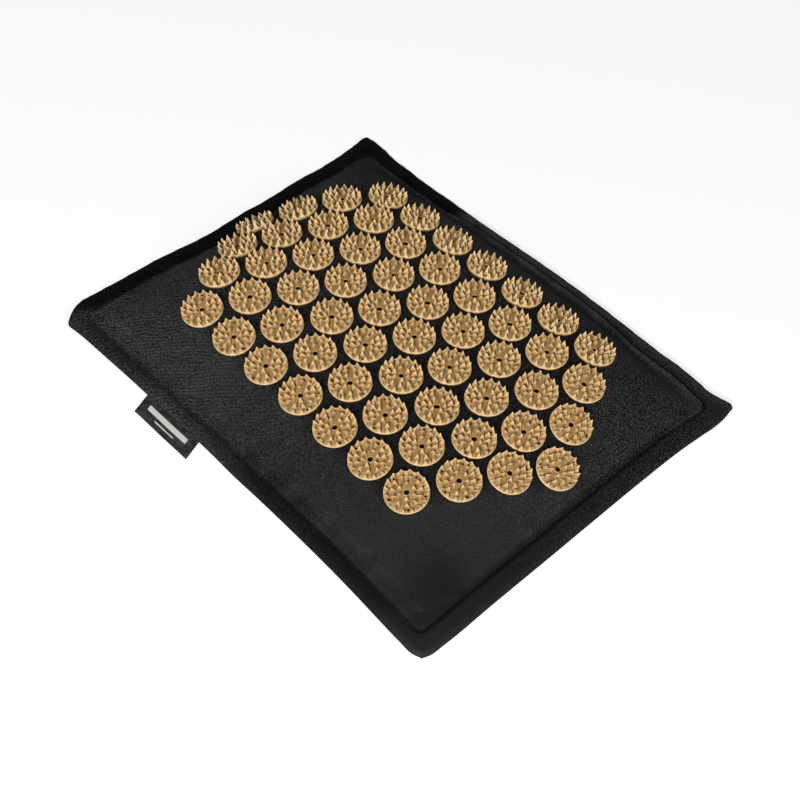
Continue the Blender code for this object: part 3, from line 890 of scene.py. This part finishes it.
# Moulded ABS: tan right through, with a faint bloom in patches 6 mm wide and the satin gloss of a fine
# mould texture, 0.4 mm from grain to grain. A painted highlight makes the ridges, tips and rim paler and
# glossier, and a painted shade darkens the valleys and bore.
plastic, tree = new_tree(bpy.data.materials, "tan_moulded_abs")
spot = add_node(tree, "TexCoord").outputs["Object"]
painted_highlight = add_node(tree, "Attribute", {"attribute_name": "painted_highlight"}).outputs["Fac"]
painted_shading = add_node(tree, "Attribute", {"attribute_name": "painted_shading"}).outputs["Fac"]
bloom = add_node(tree, "TexNoise", Vector=spot, Scale=160.0, Detail=3.0)
grain = add_node(tree, "TexNoise", Vector=spot, Scale=2600.0, Detail=1.0)
tan = add_node(tree, "Mix", as_colour, _0=bloom, _6=linear("B58C53"), _7=linear("C69D62"))
highlighted = add_node(tree, "Mix", as_colour, _0=painted_highlight, _6=tan.outputs[2], _7=linear("EFD2A0"))
# Painted shade in the valleys and the bore.
shaded_tan = add_node(tree, "Mix", as_colour, _0=painted_shading, _6=highlighted.outputs[2], _7=linear("2A1C10"))
gloss = add_node(tree, "Math", "MULTIPLY_ADD", _0=painted_highlight, _1=-0.16, _2=0.54)
skin = add_node(tree, "Bump", Strength=0.15, Distance=0.00005, Height=grain)
shaded_tan = shaded_tan.outputs[2]
surface = add_node(tree, "BsdfPrincipled", Base_Color=shaded_tan, Roughness=gloss, IOR=1.53, Normal=skin)
add_node(tree, "OutputMaterial", Surface=surface)

blank_disc = disc_mesh()
blank_disc.materials.clear()
blank_disc.materials.append(plastic)
for number, (middle, normal) in enumerate(zip(disc_middles, disc_normals), start=1):
    tilt = Vector((0, 0, 1)).rotation_difference(Vector(normal)).to_matrix().to_4x4()
    spin = Matrix.Rotation(spin_step * (number - 1), 4, "Z")
    mesh = blank_disc.copy()
    mesh.transform(Matrix.Translation(middle) @ tilt @ spin)
    mesh.name = f"disc_{number:02d}"
    disc = bpy.data.objects.new(f"disc_{number:02d}", mesh)
    scene.collection.objects.link(disc)
    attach(disc, "root")
    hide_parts(f"spike_disc_{number:02d}")
bpy.data.meshes.remove(blank_disc)

# The label
# A black woven tape, folded, with both ends sewn into the near seam. Two plain off-white bars are woven
# into its face.
label_left = -0.0705
label_right = -0.0253
label_width = label_right - label_left
label_lean = 0.0043
label_root = -0.1257
label_rise = 0.0007
label_reach = 0.0126
label_tuck = 0.005
label_ply = 0.0004
label_bend = 0.00025
label_fold = label_reach - label_bend - label_ply / 2
# Height of the tape's middle at the seam, how far it sinks to its fold, and the wave that it lies in: its
# height, and how many radians of it the tape's width takes.
label_high = 0.00125
label_sink = 0.00055
label_wave = 0.00025
label_wave_turn = 9.0
label_columns = 47
label_straight_rows = 22
label_fold_rows = 7
# Each bar on the face: middle and half length along the seam, then middle and half width out from it.
label_bars = ((0.0226, 0.0165, 0.0052, 0.0016), (0.0226, 0.0080, 0.0090, 0.0004))
tape_pitch = 0.0007
tape_wander = 1.2 * tape_pitch


def weave_height(tree, uv, pitch, wander_reach):
    """Height of a plain weave, 0 to 1, on the UV map, a little shifted by noise.

    A thread's height is the size of a sine across it. Which one is on top goes by the sign of the sines'
    product.
    """
    wander = add_node(tree, "TexNoise", Vector=uv, Scale=90.0, Detail=1.0).outputs["Color"]
    shift = add_node(tree, "VectorMath", "MULTIPLY_ADD", _0=wander, _1=(wander_reach,) * 3, _2=uv)
    threads = []
    for place in add_node(tree, "SeparateXYZ", _0=shift).outputs[:2]:
        phase = add_node(tree, "Math", "MULTIPLY", _0=place, _1=math.pi / pitch)
        threads.append(add_node(tree, "Math", "SINE", _0=phase))
    turns = add_node(tree, "Math", "MULTIPLY", _0=threads[0], _1=threads[1])
    over = add_node(tree, "Math", "GREATER_THAN", _0=turns, _1=0.0)
    warp, weft = (add_node(tree, "Math", "ABSOLUTE", _0=thread) for thread in threads)
    return add_node(tree, "Mix", _0=over, _2=warp, _3=weft)


def bar(tree, place, middle_x, half_x, middle_y, half_y):
    """1 inside a rectangle of the tape's UV map and 0 outside it."""
    within_x = add_node(tree, "Math", "COMPARE", _0=place.outputs[0], _1=middle_x, _2=half_x)
    within_y = add_node(tree, "Math", "COMPARE", _0=place.outputs[1], _1=middle_y, _2=half_y)
    return add_node(tree, "Math", "MULTIPLY", _0=within_x, _1=within_y)


# Woven tape: black polyester threads 0.35 mm apart, drawn 0.7 mm apart so that they show. It is rubbed
# greyer in spots 3 mm wide, and shines less than the cover. The bars are off-white weft threads.
tape, tree = new_tree(bpy.data.materials, "black_woven_label_tape")
uv = add_node(tree, "UVMap", {"uv_map": "cloth"})
weave = weave_height(tree, uv, tape_pitch, tape_wander)
place = add_node(tree, "SeparateXYZ", _0=uv)
bars = [bar(tree, place, *sizes) for sizes in label_bars]
marks = add_node(tree, "Math", "MAXIMUM", _0=bars[0], _1=bars[1])
spot = add_node(tree, "TexCoord").outputs["Object"]
cloud = add_node(tree, "TexNoise", Vector=spot, Scale=330.0, Detail=4.0, Roughness=0.7)
rubbed_and_highlit = add_node(tree, "MapRange", Value=cloud, From_Min=0.42, From_Max=0.6)
mottled = add_node(tree, "Math", "MULTIPLY_ADD", _0=weave, _1=0.4, _2=rubbed_and_highlit)
black = add_node(tree, "Mix", as_colour, _0=mottled, _6=linear("0E0E0E"), _7=linear("413F3E"))
pale = add_node(tree, "Mix", as_colour, _0=weave, _6=linear("A9A9A6"), _7=linear("ECECE9"))
face = add_node(tree, "Mix", as_colour, _0=marks, _6=black.outputs[2], _7=pale.outputs[2])
relief = add_node(tree, "Bump", Strength=0.5, Distance=0.00015, Height=weave)
surface = add_node(
    tree, "BsdfPrincipled", Base_Color=face.outputs[2], Roughness=0.6, Specular_IOR_Level=0.2, Normal=relief
)
add_node(tree, "OutputMaterial", Surface=surface)


def label_side(offset):
    """One side of the tape: out from the seam, round the fold and back below, sinking as it goes.

    offset is the side's distance from the middle of the ply, outwards at the fold.
    """
    straight = np.linspace(-label_tuck, label_fold, label_straight_rows)
    turn = np.linspace(0, np.pi, label_fold_rows + 2)[1:-1]
    level = np.ones(len(straight))
    out = np.concatenate((straight, label_fold + (label_bend + offset) * np.sin(turn), straight[::-1]))
    rise = (label_bend + offset) * np.concatenate((level, np.cos(turn), -level))
    back = 2 * label_fold + label_bend * np.pi - straight[::-1]
    laid = np.concatenate((straight, label_fold + label_bend * turn, back))
    grid = np.meshgrid(np.linspace(0, 1, label_columns), np.arange(len(out)))
    share, row = (part.ravel() for part in grid)
    drop = np.clip(out[row] / label_reach, 0, 1)
    x = label_left + share * label_width + drop * label_lean
    y = label_root - out[row] + label_rise * share
    wave = label_wave * np.sin(share * label_wave_turn) * drop * (1 - 0.5 * drop)
    middle = label_high - label_sink * eased(drop) + wave
    return np.column_stack((x, y, middle + rise[row])), np.column_stack((share * label_width, laid[row]))


face_points, face_uv = label_side(label_ply / 2)
back_points, back_uv = label_side(-label_ply / 2)
points, faces = closed_shell(back_points, face_points, len(face_points) // label_columns, label_columns)
label = make_piece("label_tape", points, faces, tape, uv=np.concatenate((back_uv, face_uv)), smooth_angle=50)
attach(label, "root")

# The topstitching
# Black polyester thread, which holds the two panels together. Its 3 mm stitches lie in the groove all
# round the flange.
stitch_length = 0.0030
stitch_gap = 0.00075
stitch_steps = 7
stitch_sides = 6
corner_steps = 9
thread_radius = 0.00018
# In thread radii: how thick a stitch is at its ends, and how high its middle line lies there and halfway.
stitch_tip = 0.15
stitch_end_lift = 0.2
stitch_middle_lift = 0.9

# Spun polyester thread: black, with a painted sheen from its twist, which turns every 0.3 mm.
thread, tree = new_tree(bpy.data.materials, "black_sewing_thread")
spot = add_node(tree, "TexCoord").outputs["Object"]
twist = add_node(tree, "TexNoise", Vector=spot, Scale=3000.0, Detail=1.0)
twist_sheen = add_node(tree, "Mix", as_colour, _0=twist, _6=linear("060606"), _7=linear("161617"))
black = twist_sheen.outputs[2]
surface = add_node(tree, "BsdfPrincipled", Base_Color=black, Roughness=0.75, Specular_IOR_Level=0.12)
add_node(tree, "OutputMaterial", Surface=surface)


def seam_line():
    """Points round the seam on the flat cut, a quarter circle at each corner, and how far along they lie."""
    left, right = flange["left"], flat_length - flange["right"]
    near, far = flange["near"], flat_width - flange["far"]
    middle = np.array((left + right, near + far)) / 2
    arcs = []
    for quarter, corner in enumerate(((right, far), (left, far), (left, near), (right, near))):
        radius = far_left_corner if corner == (left, far) else seam_corner
        turn = np.linspace(0, np.pi / 2, corner_steps) + quarter * np.pi / 2
        centre = corner - radius * np.sign(corner - middle)
        arcs.append(centre + radius * np.stack((np.cos(turn), np.sin(turn)), 1))
    line = np.concatenate(arcs + [arcs[0][:1]])
    return line, np.concatenate(((0,), np.cumsum(np.linalg.norm(np.diff(line, axis=0), axis=1))))


line, run = seam_line()
stitch_count = round(run[-1] / (stitch_length + stitch_gap))
lengthways = np.linspace(-0.5, 0.5, stitch_steps)
bulge = np.sqrt(np.clip(1 - (2 * lengthways) ** 4, 0, 1))
spine = np.arange(stitch_count)[:, None] * run[-1] / stitch_count + lengthways * stitch_length
along, across = (np.interp(spine % run[-1], run, line[:, k]) for k in (0, 1))
across = across - seam_stray(along, across)
floor_place = sewn_place(along, across)
lift = thread_radius * (stitch_end_lift + (stitch_middle_lift - stitch_end_lift) * bulge)
middles = np.concatenate((floor_place, (upper_height(along, across) + lift)[..., None]), -1)
# Each stitch is a round tube, whose rings stand upright across the line from its first point to its last.
heading = floor_place[:, -1] - floor_place[:, 0]
heading /= np.linalg.norm(heading, axis=1, keepdims=True)
sideways = np.column_stack((-heading[:, 1], heading[:, 0], np.zeros(len(heading))))[:, None, None]
turns = (2 * np.pi * np.arange(stitch_sides) / stitch_sides)[:, None]
radius = thread_radius * (stitch_tip + (1 - stitch_tip) * bulge)[:, None, None]
points = middles[:, :, None] + radius * (np.cos(turns) * sideways + np.sin(turns) * np.array((0, 0, 1.0)))
index = np.arange(points.size // 3).reshape(points.shape[:3])
low, high = index[:, :-1], index[:, 1:]
walls = np.stack((low, np.roll(low, -1, 2), np.roll(high, -1, 2), high), -1).reshape(-1, 4)
ends = np.concatenate((index[:, 0, ::-1], index[:, -1]))
topstitching = make_piece("topstitching", points.reshape(-1, 3), walls.tolist() + ends.tolist(), thread)
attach(topstitching, "root")
